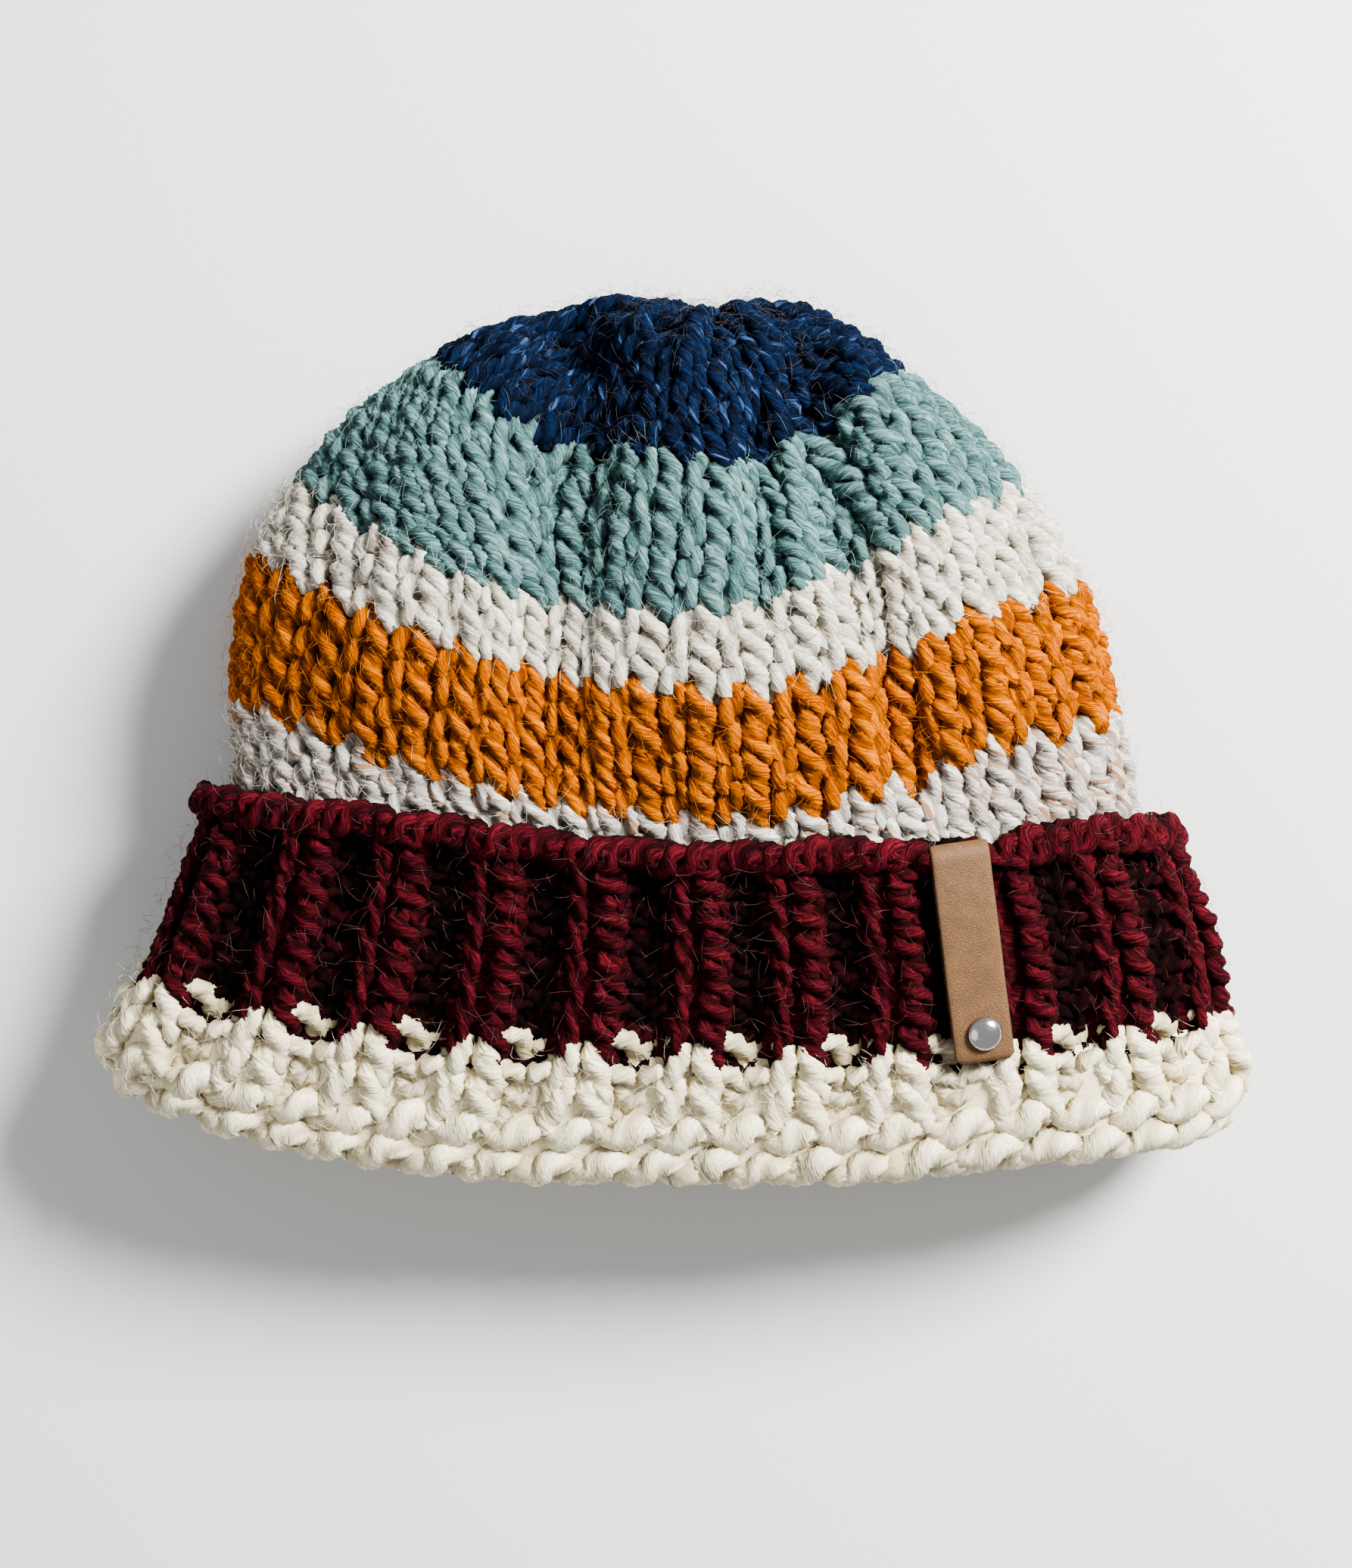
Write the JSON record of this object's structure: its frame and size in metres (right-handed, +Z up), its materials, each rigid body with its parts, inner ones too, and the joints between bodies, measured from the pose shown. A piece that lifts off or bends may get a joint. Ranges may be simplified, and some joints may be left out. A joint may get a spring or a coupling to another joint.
{
  "type": "knitted beanie",
  "caption": "Chunky knitted beanie lying on its back, banded in colours, with a turned-up ribbed cuff, a gathered crown and a leather tag riveted over the cuff's edge",
  "frame": {"origin": "On the floor under the middle of the box round the hat as it lies", "axes": "+X to the viewer's right across the hat, +Y from the opening towards the crown, +Z up, away from the floor it lies on"},
  "size_m": [0.2516, 0.1986, 0.0633],
  "materials": {
    "navy_yarn": "matte heather wool",
    "teal_yarn": "matte wool",
    "white_yarn": "matte wool with fine dark hairs",
    "mustard_yarn": "matte wool",
    "oatmeal_yarn": "matte tweed wool with brown flecks",
    "burgundy_yarn": "matte wool",
    "cream_yarn": "matte wool",
    "tag_leather": "matte grained leather",
    "rivet_metal": "polished"
  },
  "bodies": {
    "root": {"crown_top": "navy_yarn", "band_teal": "teal_yarn", "band_white": "white_yarn", "band_mustard": "mustard_yarn", "band_oatmeal": "oatmeal_yarn", "cuff_burgundy": "burgundy_yarn", "cuff_cream_edge": "cream_yarn", "leather_tag": "tag_leather", "rivet": "rivet_metal"}
  },
  "joints": []
}
